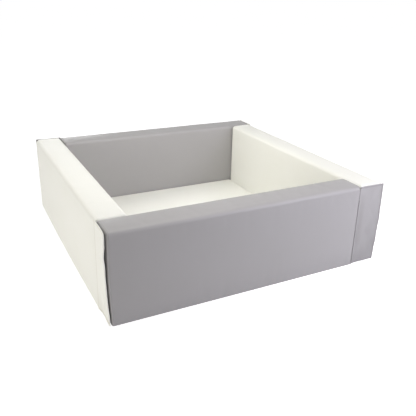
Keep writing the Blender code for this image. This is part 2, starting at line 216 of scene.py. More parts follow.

# Walls in order of their quarter turns: name, colour, bulge at the foot, gap left at the inner
# side of the butted end, and the lie of the flap, with how dark the painted shade at its foot is
WALLS = (
    ("front", "grey", 0.0005, 0.0008,
     {"splay_top": 0.0015, "splay_foot": 0.0010, "dip": 0.0028, "dip_top": 0.250, "soil": 0.40}),
    ("right", "ivory", 0.0015, 0.0045,
     {"splay_top": 0.0030, "splay_foot": 0.0020, "dip": 0.0020, "dip_top": 0.270, "soil": 0.10}),
    ("back", "grey", 0.0015, 0.0015,
     {"splay_top": 0.0055, "splay_foot": 0.0030, "dip": 0.0020, "dip_top": 0.270, "soil": 0.20}),
    ("left", "ivory", 0.0035, 0.0008,
     {"splay_top": 0.0030, "splay_foot": 0.0010, "dip": 0.0006, "dip_top": 0.300, "soil": 0.02}),
)

# Softboxes: name, place, aim, size, power in watts, colour and spread in degrees
SOFTBOXES = (
    ("front_right_softbox", (0.9, -1.6, 0.75), (0.35, -0.5, 0.15), 0.8, 9.1, "F5F3FF", 180),
    ("near_right_softbox", (0.75, -1.2, 0.9), (0.4, -0.5, 0.25), 0.6, 4.7, "F5F3FF", 180),
    ("far_left_softbox", (-3.1, -0.6, 1.5), (0, 0, 0.1), 1.6, 15.5, "FFFBF3", 180),
    ("low_left_softbox", (-3.1, -0.6, 0.5), (-0.5, -0.1, 0.15), 1.4, 23, "FFFBF3", 180),
    ("overhead_softbox", (-0.1, -0.3, 1.2), (0, 0.4, 0.15), 0.6, 5.9, "FFFDF8", 180),
    ("high_back_softbox", (0.1, 0.9, 2.0), (0, 0.1, 0), 1.2, 3.8, "FFFDF8", 180),
    ("mat_softbox", (0.03, 0.05, 1.6), (0.03, 0.05, 0), 0.5, 0.19, "FFFFFF", 16),
    ("right_wall_softbox", (-0.9, -0.5, 1.2), (0.4, 0.18, 0.15), 0.5, 0.13, "FFFFFF", 22),
    ("right_fill", (3.0, 0.3, 0.6), (0.5, 0, 0.15), 1.4, 17, "FFFFFF", 180),
    ("back_fill", (-0.3, 3.0, 0.6), (0, 0.5, 0.15), 1.4, 17, "FFFFFF", 180),
)
SURROUND_LIGHT = 0.24             # of the white surround, as light on the pit
FLOOR_GLOW = 0.87
FLOOR_SIZE = 60
FLOOR_DROP = 0.0002               # below the pit, so that the two don't share a plane


def hex_colour(text, alpha=1):
    """Linear colour of an sRGB hex value such as 'A1A0A2'."""
    channels = [int(text[start:start + 2], 16) / 255 for start in (0, 2, 4)]
    linear = [c / 12.92 if c <= 0.04045 else ((c + 0.055) / 1.055) ** 2.4 for c in channels]
    return (*linear, alpha)


def add_node(material, kind, settings=None, sockets=None, links=None):
    """Add a node to a material, with its settings, its socket values and its incoming links."""
    node = material.node_tree.nodes.new(kind)
    for name, value in (settings or {}).items():
        setattr(node, name, value)
    for name, value in (sockets or {}).items():
        node.inputs[name].default_value = value
    for name, source in (links or {}).items():
        material.node_tree.links.new(source, node.inputs[name])
    return node


def new_material(name):
    """An empty node material."""
    material = bpy.data.materials.new(name)
    material.use_nodes = True
    material.node_tree.nodes.clear()
    return material


def finish_material(material, shader):
    """Join a shader to the material's output."""
    add_node(material, "ShaderNodeOutputMaterial", links={"Surface": shader.outputs[0]})
    return material


def leatherette(name, colour, cloudy, shade_colour):
    """Vinyl-coated fabric, embossed with a fine pebble grain: satin, a little cloudy in tone.

    The real pebbles are about 1 mm across. They are drawn 1.7 mm wide, so that they show.
    """
    pebble = 0.0017
    cloud = 0.13
    peel = 0.007
    material = new_material(name)
    place = add_node(material, "ShaderNodeTexCoord").outputs["Object"]
    clouds = add_node(material, "ShaderNodeTexNoise",
                      sockets={"Scale": 1 / cloud, "Detail": 3, "Roughness": 0.55},
                      links={"Vector": place})
    toned = add_node(material, "ShaderNodeMix", {"data_type": 'RGBA'},
                     {"A": hex_colour(colour), "B": hex_colour(cloudy)},
                     {"Factor": clouds.outputs["Fac"]})
    # The "seam" attribute holds painted shade: in seam grooves, along flap hems and roots, and
    # darker towards a flap's foot. It mixes the colour towards the shade colour.
    seam = add_node(material, "ShaderNodeAttribute", {"attribute_name": "seam"})
    painted_shade = add_node(material, "ShaderNodeMix", {"data_type": 'RGBA'},
                      {"B": hex_colour(shade_colour)},
                      {"Factor": seam.outputs["Fac"], "A": toned.outputs["Result"]})
    rough = add_node(material, "ShaderNodeMapRange",
                     sockets={"To Min": 0.40, "To Max": 0.50},
                     links={"Value": clouds.outputs["Fac"]})
    peeled = add_node(material, "ShaderNodeTexNoise",
                      sockets={"Scale": 1 / peel, "Detail": 2}, links={"Vector": place})
    pebbles = add_node(material, "ShaderNodeTexVoronoi",
                       {"feature": 'SMOOTH_F1'},
                       {"Scale": 1 / pebble, "Smoothness": 0.6}, {"Vector": place})
    soft_bump = add_node(material, "ShaderNodeBump",
                         sockets={"Strength": 0.30, "Distance": 0.0004},
                         links={"Height": peeled.outputs["Fac"]})
    bump = add_node(material, "ShaderNodeBump",
                    {"invert": True}, {"Strength": 0.40, "Distance": 0.0003},
                    {"Height": pebbles.outputs["Distance"], "Normal": soft_bump.outputs["Normal"]})
    shader = add_node(material, "ShaderNodeBsdfPrincipled",
                      sockets={"IOR": 1.5, "Specular IOR Level": 0.5},
                      links={"Base Color": painted_shade.outputs["Result"],
                             "Roughness": rough.outputs["Result"],
                             "Normal": bump.outputs["Normal"]})
    return finish_material(material, shader)


def polyester_thread(name, colour):
    """Bonded polyester sewing thread, twisted from three strands, with a slight sheen."""
    twist = 0.0008
    material = new_material(name)
    place = add_node(material, "ShaderNodeTexCoord").outputs["Object"]
    strands = add_node(material, "ShaderNodeTexWave", {"bands_direction": 'DIAGONAL'},
                       {"Scale": 1 / twist / (2 * math.pi)}, {"Vector": place})
    bump = add_node(material, "ShaderNodeBump", sockets={"Strength": 0.5, "Distance": 0.0001},
                    links={"Height": strands.outputs["Fac"]})
    shader = add_node(material, "ShaderNodeBsdfPrincipled",
                      sockets={"Base Color": hex_colour(colour), "Roughness": 0.55,
                               "Sheen Weight": 0.15},
                      links={"Normal": bump.outputs["Normal"]})
    return finish_material(material, shader)


def open_cell_foam():
    """Polyurethane foam, sawn from a block: dull cream, pitted by open cells.

    Real cells are under 1 mm across. They are drawn 2 mm wide, so that they show.
    """
    cell = 0.002
    patch = 0.06
    material = new_material("polyurethane_foam")
    place = add_node(material, "ShaderNodeTexCoord").outputs["Object"]
    cells = add_node(material, "ShaderNodeTexVoronoi", sockets={"Scale": 1 / cell},
                     links={"Vector": place})
    patches = add_node(material, "ShaderNodeTexNoise",
                       sockets={"Scale": 1 / patch, "Detail": 3}, links={"Vector": place})
    toned = add_node(material, "ShaderNodeMix", {"data_type": 'RGBA'},
                     {"A": hex_colour("E6E0CC"), "B": hex_colour("DBD3B8")},
                     {"Factor": patches.outputs["Fac"]})
    bump = add_node(material, "ShaderNodeBump", sockets={"Strength": 0.7, "Distance": 0.0006},
                    links={"Height": cells.outputs["Distance"]})
    shader = add_node(material, "ShaderNodeBsdfPrincipled",
                      sockets={"Roughness": 0.95, "Specular IOR Level": 0.15,
                               "Sheen Weight": 0.10},
                      links={"Base Color": toned.outputs["Result"],
                             "Normal": bump.outputs["Normal"]})
    return finish_material(material, shader)


def nylon_tape(name, colour, thread_colour, sheen):
    """Nylon narrow fabric of hook, loop and zip tape: fine ribs of yarn, and the fuzz on them.

    The real ribs are 0.5 mm apart. They are drawn 1 mm apart, so that they show.
    """
    rib = 0.001
    fuzz = 0.0016
    material = new_material(name)
    place = add_node(material, "ShaderNodeTexCoord").outputs["Object"]
    ribs = add_node(material, "ShaderNodeTexWave", {"bands_direction": 'DIAGONAL'},
                    {"Scale": 1 / rib / (2 * math.pi), "Distortion": 1.5, "Detail Scale": 2},
                    {"Vector": place})
    yarn = add_node(material, "ShaderNodeTexNoise", sockets={"Scale": 1 / fuzz, "Detail": 3},
                    links={"Vector": place})
    toned = add_node(material, "ShaderNodeMix", {"data_type": 'RGBA'},
                     {"A": hex_colour(thread_colour), "B": hex_colour(colour)},
                     {"Factor": yarn.outputs["Fac"]})
    ribbed = add_node(material, "ShaderNodeBump", sockets={"Strength": 0.5, "Distance": 0.0002},
                      links={"Height": ribs.outputs["Fac"]})
    bump = add_node(material, "ShaderNodeBump", sockets={"Strength": 0.5, "Distance": 0.0003},
                    links={"Height": yarn.outputs["Fac"], "Normal": ribbed.outputs["Normal"]})
    shader = add_node(material, "ShaderNodeBsdfPrincipled",
                      sockets={"Roughness": 0.7, "Sheen Weight": sheen},
                      links={"Base Color": toned.outputs["Result"],
                             "Normal": bump.outputs["Normal"]})
    return finish_material(material, shader)


def moulded_nylon(name, colour):
    """Extruded nylon of the zip's coil: smooth and slightly glossy, with faint flow marks."""
    flow = 0.0012
    material = new_material(name)
    place = add_node(material, "ShaderNodeTexCoord").outputs["Object"]
    marks = add_node(material, "ShaderNodeTexNoise", sockets={"Scale": 1 / flow, "Detail": 2},
                     links={"Vector": place})
    rough = add_node(material, "ShaderNodeMapRange", sockets={"To Min": 0.25, "To Max": 0.42},
                     links={"Value": marks.outputs["Fac"]})
    bump = add_node(material, "ShaderNodeBump", sockets={"Strength": 0.2, "Distance": 0.0001},
                    links={"Height": marks.outputs["Fac"]})
    shader = add_node(material, "ShaderNodeBsdfPrincipled",
                      sockets={"Base Color": hex_colour(colour), "IOR": 1.53},
                      links={"Roughness": rough.outputs["Result"],
                             "Normal": bump.outputs["Normal"]})
    return finish_material(material, shader)


def plated_nickel():
    """Nickel plate on a zinc casting: a warm bright metal, tumbled, with soft handling marks."""
    tumbling = 0.003
    scuff = 0.0008
    material = new_material("nickel_plated_zinc")
    place = add_node(material, "ShaderNodeTexCoord").outputs["Object"]
    tumbled = add_node(material, "ShaderNodeTexNoise",
                       sockets={"Scale": 1 / tumbling, "Detail": 2}, links={"Vector": place})
    scuffs = add_node(material, "ShaderNodeTexNoise",
                      sockets={"Scale": 1 / scuff, "Detail": 4}, links={"Vector": place})
    rough = add_node(material, "ShaderNodeMapRange", sockets={"To Min": 0.18, "To Max": 0.38},
                     links={"Value": scuffs.outputs["Fac"]})
    bump = add_node(material, "ShaderNodeBump", sockets={"Strength": 0.25, "Distance": 0.0002},
                    links={"Height": tumbled.outputs["Fac"]})
    shader = add_node(material, "ShaderNodeBsdfPrincipled",
                      sockets={"Base Color": hex_colour("D5D0C6"), "Metallic": 1},
                      links={"Roughness": rough.outputs["Result"],
                             "Normal": bump.outputs["Normal"]})
    return finish_material(material, shader)


def select_only(piece):
    """Make one object the whole selection."""
    bpy.ops.object.select_all(action='DESELECT')
    piece.select_set(True)
    bpy.context.view_layer.objects.active = piece


def object_mode():
    bpy.ops.object.mode_set(mode='OBJECT')


def edit_edges(piece, wanted):
    """Enter edit mode with the edges selected whose two ends pass the test."""
    select_only(piece)
    bpy.ops.object.mode_set(mode='EDIT')
    bpy.ops.mesh.select_mode(type='EDGE')
    bpy.ops.mesh.select_all(action='DESELECT')
    object_mode()
    places = [vertex.co for vertex in piece.data.vertices]
    for edge in piece.data.edges:
        edge.select = wanted(*(places[index] for index in edge.vertices))
    bpy.ops.object.mode_set(mode='EDIT')


def edit_faces(piece, wanted):
    """Enter edit mode with the faces selected whose centre and normal pass the test."""
    select_only(piece)
    bpy.ops.object.mode_set(mode='EDIT')
    bpy.ops.mesh.select_mode(type='FACE')
    bpy.ops.mesh.select_all(action='DESELECT')
    object_mode()
    for face in piece.data.polygons:
        face.select = wanted(face.center, face.normal)
    bpy.ops.object.mode_set(mode='EDIT')


def round_edges(piece, wanted, radius, segments):
    """Round the edges of a mesh whose two ends pass the test."""
    edit_edges(piece, wanted)
    bpy.ops.mesh.bevel(offset=radius, offset_type='OFFSET', segments=segments, affect='EDGES')
    object_mode()


def box_between(name, low, high):
    """A cube primitive stretched from one corner to the other."""
    bpy.ops.object.select_all(action='DESELECT')
    bpy.ops.mesh.primitive_cube_add(size=1, location=(low + high) / 2, scale=high - low)
    piece = bpy.context.object
    piece.name = name
    piece.data.name = name
    bpy.ops.object.transform_apply(location=True, rotation=True, scale=True)
    return piece


def box_round(node, margin):
    """Lowest and highest corners of a box that stands round a node by a margin."""
    low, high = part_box(node)
    wider = Vector((margin, margin, margin))
    return low - wider, high + wider


def along_corners(low, high, axis):
    """A test for the four edges of a box along one axis."""
    others = [other for other in (X, Y, Z) if other != axis]

    def on_corner(start, end):
        for other in others:
            for place in (start, end):
                from_side = min(abs(place[other] - low[other]), abs(place[other] - high[other]))
                if from_side > SAME_PLACE:
                    return False
        return abs(start[axis] - end[axis]) > SAME_PLACE
    return on_corner


def at_place(axis, place):
    """A test for the edges that lie wholly at one place along an axis."""
    return lambda start, end: max(abs(start[axis] - place), abs(end[axis] - place)) < SAME_PLACE


def cut_across(piece, axis, places):
    """Cut a mesh through along planes square to one axis."""
    select_only(piece)
    bpy.ops.object.mode_set(mode='EDIT')
    normal = Vector((0, 0, 0))
    normal[axis] = 1
    for place in places:
        bpy.ops.mesh.select_all(action='SELECT')
        bpy.ops.mesh.bisect(plane_co=place * normal, plane_no=normal, threshold=SAME_PLACE)
    object_mode()


def even_places(low, high, spacing):
    """Places that divide a stretch evenly, about one spacing apart, without its two ends."""
    count = max(1, round((high - low) / spacing))
    return [low + (high - low) * step / count for step in range(1, count)]


def corners_of(piece):
    """A mesh's vertices and vertex normals as arrays."""
    count = len(piece.data.vertices)
    places = np.empty(count * 3)
    piece.data.vertices.foreach_get("co", places)
    normals = np.empty(count * 3)
    piece.data.vertex_normals.foreach_get("vector", normals)
    return places.reshape(-1, 3), normals.reshape(-1, 3)


def places_of(piece):
    """A mesh's vertices as an array."""
    return corners_of(piece)[0]


def move_corners(piece, places):
    """Give a mesh's vertices new places."""
    piece.data.vertices.foreach_set("co", places.ravel())
    piece.data.update()


def waver(places, wavelength, seed):
    """Smooth noise between about -1 and 1 at each place."""
    shift = Vector((seed, 2 * seed, 3 * seed))
    return np.array([noise.noise(Vector(place) / wavelength + shift) for place in places])


def smooth_step(values):
    """Ease from 0 to 1."""
    clipped = np.clip(values, 0, 1)
    return clipped * clipped * (3 - 2 * clipped)


def turn(piece, turns):
    """Carry a piece from the front of the pit to its own side."""
    piece.data.transform(Matrix.Rotation(turns * QUARTER_TURN, 4, 'Z'))


def add_modifier_now(piece, kind, **settings):
    """Add a modifier with its settings and apply it."""
    select_only(piece)
    modifier = piece.modifiers.new(kind, kind)
    for name, value in settings.items():
        setattr(modifier, name, value)
    bpy.ops.object.modifier_apply(modifier=modifier.name)


def repeat(piece, axis, count, pitch):
    """Repeat a piece along an axis."""
    step = Vector((0, 0, 0))
    step[axis] = pitch
    add_modifier_now(piece, 'ARRAY', count=count, use_relative_offset=False,
                     use_constant_offset=True, constant_offset_displace=step)


def moved_copy(piece, shift):
    """A copy of a piece with its own mesh, moved aside."""
    twin = piece.copy()
    twin.data = piece.data.copy()
    twin.data.transform(Matrix.Translation(shift))
    bpy.context.scene.collection.objects.link(twin)
    return twin


def join(pieces):
    """Join pieces into the first one."""
    bpy.ops.object.select_all(action='DESELECT')
    for piece in pieces:
        piece.select_set(True)
    bpy.context.view_layer.objects.active = pieces[0]
    bpy.ops.object.join()
    return pieces[0]


def dress(piece, material):
    """Give a piece one material and smooth shading."""
    piece.data.shade_smooth()
    piece.data.materials.clear()
    piece.data.materials.append(material)


def swell(piece, held, crowns):
    """Let a cover swell under light pressure between the places where it is held.

    The foam stops each face at its own crown. The crowns are given as axis, side and height.
    """
    places, normals = corners_of(piece)
    group = piece.vertex_groups.new(name="held")
    group.add([int(index) for index in np.flatnonzero(held)], 1, 'REPLACE')
    cloth = piece.modifiers.new("swelling", 'CLOTH')
    settings = cloth.settings
    settings.quality = SWELL_QUALITY
    settings.vertex_group_mass = "held"
    settings.use_pressure = True
    settings.uniform_pressure_force = SWELL_PRESSURE
    settings.shrink_min = -SWELL_STRETCH
    settings.effector_weights.gravity = 0
    cloth.collision_settings.use_collision = False
    for step in range(1, SWELL_FRAMES + 1):
        bpy.context.scene.frame_set(step)
    select_only(piece)
    bpy.ops.object.modifier_apply(modifier=cloth.name)
    bpy.context.scene.frame_set(1)
    piece.vertex_groups.clear()
    height = ((places_of(piece) - places) * normals).sum(1)
    rise = np.zeros(len(places))
    for axis, side, crown in crowns:
        facing = np.clip(side * normals[:, axis], 0, 1) ** 2
        share = np.clip(facing * height / (facing * height).max(), 0, 1)
        rise += crown * np.tanh(FULLNESS_CAP * share) / math.tanh(FULLNESS_CAP)
    move_corners(piece, places + normals * rise[:, None])


def press_seam(piece, axis, place, seed):
    """Press a seam with its two lips and small puckers into a cover, round one axis."""
    offsets = sorted({0, *SEAM_CUTS, *(-cut for cut in SEAM_CUTS)})
    cut_across(piece, axis, [place + offset for offset in offsets])
    places, normals = corners_of(piece)
    across = np.abs(places[:, axis] - place)
    groove = smooth_step(1 - across / SEAM_CUTS[1])
    lip = smooth_step(1 - np.abs(across - SEAM_CUTS[1]) / SEAM_CUTS[1])
    pucker = waver(places, PUCKER_LENGTH, seed)
    depth = SEAM_DEPTH * groove * (1 + PUCKER_SHARE * pucker)
    height = SEAM_LIP * lip * (1 + pucker) - depth
    move_corners(piece, places + normals * height[:, None])


def open_groove(piece, low, high, depth):
    """Sink a groove for the zip into a block's underside."""
    foot = min(vertex.co.z for vertex in piece.data.vertices)
    for axis in (X, Y):
        for place, side in ((low[axis], -1), (high[axis], 1)):
            cut_across(piece, axis, [place, place + side * GROOVE_EDGE])
    centre = (low + high) / 2
    half = (high - low) / 2
    edit_faces(piece, lambda middle, normal: normal.z < -DOWNWARD_LEAN
               and middle.z < foot + UNDERSIDE_REACH
               and abs(middle.x - centre.x) < half.x and abs(middle.y - centre.y) < half.y)
    bpy.ops.mesh.extrude_region_move(TRANSFORM_OT_translate={"value": (0, 0, depth)})
    object_mode()


def paint_shade(piece, near):
    """Store each vertex's painted shade for the material: shade in seam grooves, along a flap's
    hems and root, and darker towards a flap's foot.
    """
    marks = piece.data.attributes.new("seam", 'FLOAT', 'POINT')
    marks.data.foreach_set("value", near.astype(np.float32))


def end_lie(height):
    """How far a wall's covered end, and the flap on it, lie inwards at a height."""
    swollen = smooth_step((height - END_SWELL_FOOT) / END_SWELL_RISE)
    swollen = swollen * smooth_step((END_SWELL_TOP - height) / END_SWELL_FALL)
    return END_TUCK * smooth_step(1 - height / END_TUCK_HEIGHT) - END_SWELL * swollen


def lay_end(piece):
    """Shape the covered end of a wall, or what is inside it or sewn to it, as it lies."""
    places = places_of(piece)
    near = smooth_step(1 - (places[:, X] - WALL_END_X) / END_LIE_REACH)
    places[:, X] += end_lie(places[:, Z]) * near
    move_corners(piece, places)


def slacken_butt(piece, gap):
    """Leave a gap at the inner side of the end that butts on the next wall."""
    low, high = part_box("front_cover")
    places = places_of(piece)
    near = smooth_step(1 - (high.x - places[:, X]) / BUTT_REACH)
    inner = smooth_step(1 - BUTT_SLOPE * (high.y - places[:, Y]) / (high.y - low.y))
    places[:, X] -= gap * near * inner
    move_corners(piece, places)


def settle(piece, share, seed):
    """Let a surface undulate softly along its normals, by a share at each point."""
    places, normals = corners_of(piece)
    height = UNDULATION * waver(places, UNDULATION_LENGTH, seed) * share
    move_corners(piece, places + normals * height[:, None])


def refine_cover(piece):
    """Smooth a cover's mesh once and keep its underside on the ground."""
    add_modifier_now(piece, 'SUBSURF', levels=1, render_levels=1)
    places = places_of(piece)
    places[:, Z] = np.maximum(places[:, Z], 0)
    move_corners(piece, places)
    return places


def fill_root(piece, face_y):
    """Draw the cover out flush beside the upper part of its flap's root."""
    places = places_of(piece)
    from_root = FLAP_LOW.x - places[:, X]
    beside = (from_root < ROOT_FILL_REACH) & (from_root > ROOT_CLEARANCE)
    near = beside & (places[:, Y] < face_y + ROOT_FILL_DEPTH)
    height = places[:, Z]
    drawn = smooth_step((height - ROOT_FILL_FOOT) / ROOT_FILL_FOOT_EASE)
    drawn = drawn * smooth_step((ROOT_FILL_TOP - height) / ROOT_FILL_TOP_EASE)
    places[:, Y] = np.where(near, places[:, Y] * (1 - drawn) + face_y * drawn, places[:, Y])
    move_corners(piece, places)


def make_wall_cover(turns, name, colour, foot_bulge, gap):
    """Padded cover of one wall, modelled at the front of the pit and turned to its side."""
    low, high = box_round("front_foam_core", FOAM_INSET)
    piece = box_between(name + "_padded_cover", low, high)
    corner = along_corners(low, high, X)
    round_edges(piece, lambda start, end: corner(start, end) and start.z > high.z - SAME_PLACE
                and start.y < low.y + SAME_PLACE, OUTER_TOP_RADIUS, 6)
    round_edges(piece, lambda start, end: corner(start, end) and start.z < low.z + SAME_PLACE,
                FOOT_RADIUS, 4)
    round_edges(piece, corner, INNER_TOP_RADIUS, 5)
    for rim in (low.x, high.x):
        round_edges(piece, at_place(X, rim), END_EDGE_RADIUS, 4)
    for axis, low_radius, high_radius in ((X, END_EDGE_RADIUS, END_EDGE_RADIUS),
                                          (Y, OUTER_TOP_RADIUS, INNER_TOP_RADIUS),
                                          (Z, FOOT_RADIUS, OUTER_TOP_RADIUS)):
        cut_across(piece, axis, even_places(low[axis] + low_radius, high[axis] - high_radius,
                                            WALL_PANEL))
    places, normals = corners_of(piece)
    from_end = np.minimum(places[:, X] - low.x, high.x - places[:, X])
    on_long_edge = np.minimum(np.abs(normals[:, Y]), np.abs(normals[:, Z])) > EDGE_LEAN
    at_end = from_end < END_EDGE_RADIUS + SAME_PLACE
    held = (places[:, Z] < low.z + SAME_PLACE) | at_end | on_long_edge
    swell(piece, held, ((Y, -1, OUTER_CROWN), (Y, 1, INNER_CROWN), (Z, 1, TOP_CROWN)))
    places, normals = corners_of(piece)
    free = smooth_step((from_end - SEAM_INSET) / UNDULATION_REACH)
    free = free * np.clip(1 + normals[:, Z], 0, 1)
    free = free * np.where(normals[:, Y] > INWARD_LEAN, INNER_UNDULATION_SHARE, 1)
    settle(piece, free, turns + COVER_SEED)
    places = places_of(piece)
    outer = smooth_step(2 * (high.y - places[:, Y]) / (high.y - low.y) - 1)
    low_down = smooth_step(1 - places[:, Z] / FOOT_BULGE_HEIGHT)
    midway = np.sin(math.pi * np.clip((places[:, X] - low.x) / (high.x - low.x), 0, 1))
    places[:, Y] -= foot_bulge * outer * low_down * midway
    move_corners(piece, places)
    seams = (low.x + SEAM_INSET, high.x - SEAM_INSET)
    for place in seams:
        press_seam(piece, X, place, turns + SEAM_SEED)
    open_groove(piece, *box_round("front_zip_chain", COVER_GROOVE_MARGIN), ZIP_GROOVE_HEIGHT)
    places = refine_cover(piece)
    # Painted shade in the seam grooves
    from_seam = np.minimum(np.abs(places[:, X] - seams[0]), np.abs(places[:, X] - seams[1]))
    paint_shade(piece, COVER_SEAM_SHADE * smooth_step(1 - from_seam / SEAM_CUTS[1]))
    fill_root(piece, low.y)
    lay_end(piece)
    slacken_butt(piece, gap)
    dress(piece, LEATHERETTE[colour])
    turn(piece, turns)
    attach(piece, name + "_wall")
    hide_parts(name + "_cover")


def make_mat_cover():
    """Padded cover of the floor mat."""
    low, high = box_round("mat_foam_core", FOAM_INSET)
    piece = box_between("mat_padded_cover", low, high)
    round_edges(piece, along_corners(low, high, Z), MAT_SIDE_RADIUS, 5)
    for rim in (low.z, high.z):
        round_edges(piece, at_place(Z, rim), MAT_RIM_RADIUS, 4)
    for axis in (X, Y):
        cut_across(piece, axis, even_places(low[axis] + MAT_SIDE_RADIUS,
                                            high[axis] - MAT_SIDE_RADIUS, MAT_PANEL))
    swell(piece, places_of(piece)[:, Z] < high.z - MAT_RIM_RADIUS / 2, ((Z, 1, MAT_CROWN),))
    places, normals = corners_of(piece)
    from_edge = np.minimum(high.x - np.abs(places[:, X]), high.y - np.abs(places[:, Y]))
    free = smooth_step(from_edge / MAT_UNDULATION_REACH) * np.clip(normals[:, Z], 0, 1)
    settle(piece, free, MAT_SEED)
    seams = (low.z + SEAM_INSET, high.z - SEAM_INSET)
    for place in seams:
        press_seam(piece, Z, place, MAT_SEAM_SEED)
    open_groove(piece, *box_round("mat_zip_chain", COVER_GROOVE_MARGIN), ZIP_GROOVE_HEIGHT)
    places = refine_cover(piece)
    # Painted shade in the seam grooves
    from_seam = np.minimum(np.abs(places[:, Z] - seams[0]), np.abs(places[:, Z] - seams[1]))
    paint_shade(piece, COVER_SEAM_SHADE * smooth_step(1 - from_seam / SEAM_CUTS[1]))
    dress(piece, LEATHERETTE["ivory"])
    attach(piece, "floor_mat")
    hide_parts("mat_cover")


def make_foam_block(turns, node, zip_node, body, gap=0):
    """Foam block, sawn with soft edges and grooved for the zip, a little inside its cover."""
    low, high = box_round(node, -FOAM_PLAY)
    own_node = body.replace("_wall", "").replace("floor_", "") + "_foam_core"
    piece = box_between(own_node.replace("core", "block"), low, high)
    edge_radius = min(FOAM_EDGE_RADIUS, (high.z - low.z) / 3)
    round_edges(piece, along_corners(low, high, X), edge_radius, 3)
    for rim in (low.x, high.x):
        round_edges(piece, at_place(X, rim), FOAM_END_RADIUS, 3)
    open_groove(piece, *box_round(zip_node, FOAM_GROOVE_MARGIN), FOAM_GROOVE_HEIGHT)
    if own_node != "mat_foam_core":
        lay_end(piece)
        slacken_butt(piece, gap)
    add_modifier_now(piece, 'TRIANGULATE')
    dress(piece, FOAM)
    piece.data.shade_flat()
    turn(piece, turns)
    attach(piece, body)
    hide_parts(own_node)


def lay_flap(piece, lie, seed):
    """Bend a flap, or what is sewn to it, as it lies: dipped at its root, splayed at its edge."""
    places = places_of(piece)
    along = places[:, X] - FLAP_ROOT_X
    height = (places[:, Z] - FLAP_LOW.z) / (FLAP_HIGH.z - FLAP_LOW.z)
    into = smooth_step((along - DIP_START) / (DIP_DEEPEST - DIP_START))
    out = smooth_step((DIP_END - along) / (DIP_END - DIP_DEEPEST))
    below = smooth_step((lie["dip_top"] - places[:, Z]) / DIP_TOP_EASE)
    dip = lie["dip"] * np.minimum(into, out) * below
    splay = lie["splay_foot"] + (lie["splay_top"] - lie["splay_foot"]) * smooth_step(height)
    start = SPLAY_START_SHARE * FLAP_LENGTH
    splay = splay * smooth_step((along - start) / (2 * (FLAP_LENGTH - start))) * 2
    flat = places.copy()
    flat[:, Y] = FLAP_PLANE_Y
    wave = FLAP_WAVE * waver(flat, FLAP_WAVE_LENGTH, seed) * smooth_step(along / FLAP_WAVE_START)
    wave = np.maximum(wave, -FLAP_WAVE_INWARDS)
    lean = end_lie(places[:, Z]) * smooth_step(along / FLAP_LIE_START)
    places[:, Y] += dip - splay - wave + lean
    move_corners(piece, places)


def flap_edge_distance(places):
    """Distance of places on a flap from its nearest hemmed edge."""
    from_ends = np.minimum(places[:, Z] - FLAP_LOW.z, FLAP_HIGH.z - places[:, Z])
    return np.minimum(FLAP_HIGH.x - places[:, X], from_ends)


def make_flap(turns, name, colour, lie):
    """Flap of two layers, hemmed on three sides, with its stitches."""
    piece = box_between(name + "_sewn_flap", FLAP_LOW.copy(), FLAP_HIGH.copy())
    hem_places = [HEM_WIDTH, *(HEM_WIDTH + cut for cut in HEM_CUTS),
                  *(HEM_WIDTH - cut for cut in HEM_CUTS), FLAP_EDGE_ROUND]
    clear = HEM_WIDTH + HEM_CUTS[1]
    cut_across(piece, X, even_places(FLAP_LOW.x, FLAP_HIGH.x - clear, FLAP_PANEL))
    cut_across(piece, Z, even_places(FLAP_LOW.z + clear, FLAP_HIGH.z - clear, FLAP_PANEL))
    cut_across(piece, X, [FLAP_HIGH.x - place for place in hem_places])
    cut_across(piece, X, [FLAP_LOW.x + FLAP_EDGE_ROUND])
    cut_across(piece, Z, [FLAP_HIGH.z - place for place in hem_places])
    cut_across(piece, Z, [FLAP_LOW.z + place for place in hem_places])
    places = places_of(piece)
    inside = flap_edge_distance(places)
    channel = smooth_step(1 - np.abs(inside - HEM_WIDTH) / HEM_CUTS[1])
    band = smooth_step((HEM_WIDTH - inside) / HEM_CUTS[1])
    thicker = HEM_RISE * band - HEM_CHANNEL_DEPTH * channel
    places[:, Y] += thicker * np.sign(places[:, Y] - FLAP_PLANE_Y)
    move_corners(piece, places)
    add_modifier_now(piece, 'SUBSURF', levels=1, render_levels=1)
    places = places_of(piece)
    # Painted shade along the hems' channels and in the groove at the flap's root
    from_hem = np.abs(flap_edge_distance(places) - HEM_WIDTH)
    above_dip = np.maximum(places[:, Z] - lie["dip_top"], 0)
    from_root = places[:, X] - FLAP_LOW.x + ROOT_SHADE_FADE * above_dip
    hem_and_root_shade = smooth_step(1 - np.minimum(from_hem / HEM_SHADE, from_root / ROOT_SHADE))
    # Painted shade, darker towards the flap's foot, in patches
    patches = 1 + FOOT_SHADE_PATCHINESS * waver(places, FOOT_SHADE_PATCH_LENGTH, turns + FOOT_SHADE_SEED)
    foot_shading = lie["soil"] * smooth_step(1 - places[:, Z] / FOOT_SHADE_HEIGHT) * patches
    paint_shade(piece, np.maximum(FLAP_EDGE_SHADE * hem_and_root_shade, foot_shading))
    lay_flap(piece, lie, turns + FLAP_SEED)
    dress(piece, LEATHERETTE[colour])
    turn(piece, turns)
    thread = make_hem_thread(turns, name, colour, lie)
    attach(piece, name + "_flap_leaf")
    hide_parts(name + "_flap")


def stitch_row(axis, start, length):
    """A row of stitches on a flap's outer face, centred on its plane in thickness."""
    turns_to_axis = {X: (0, QUARTER_TURN, 0), Z: (0, 0, 0)}
    count = round(length / STITCH_PITCH)
    place = start.copy()
    place[axis] += (length - (count - 1) * STITCH_PITCH) / 2
    bpy.ops.object.select_all(action='DESELECT')
    bpy.ops.mesh.primitive_cylinder_add(vertices=6, radius=STITCH_WIDTH / 2, depth=STITCH_LENGTH,
                                        location=place, rotation=turns_to_axis[axis])
    stitch = bpy.context.object
    bpy.ops.object.transform_apply(location=True, rotation=True, scale=True)
    for side in (-1, 1):
        end = place[axis] + side * STITCH_LENGTH / 2
        round_edges(stitch, at_place(axis, end), STITCH_ROUNDING, 2)
    repeat(stitch, axis, count, STITCH_PITCH)
    return stitch


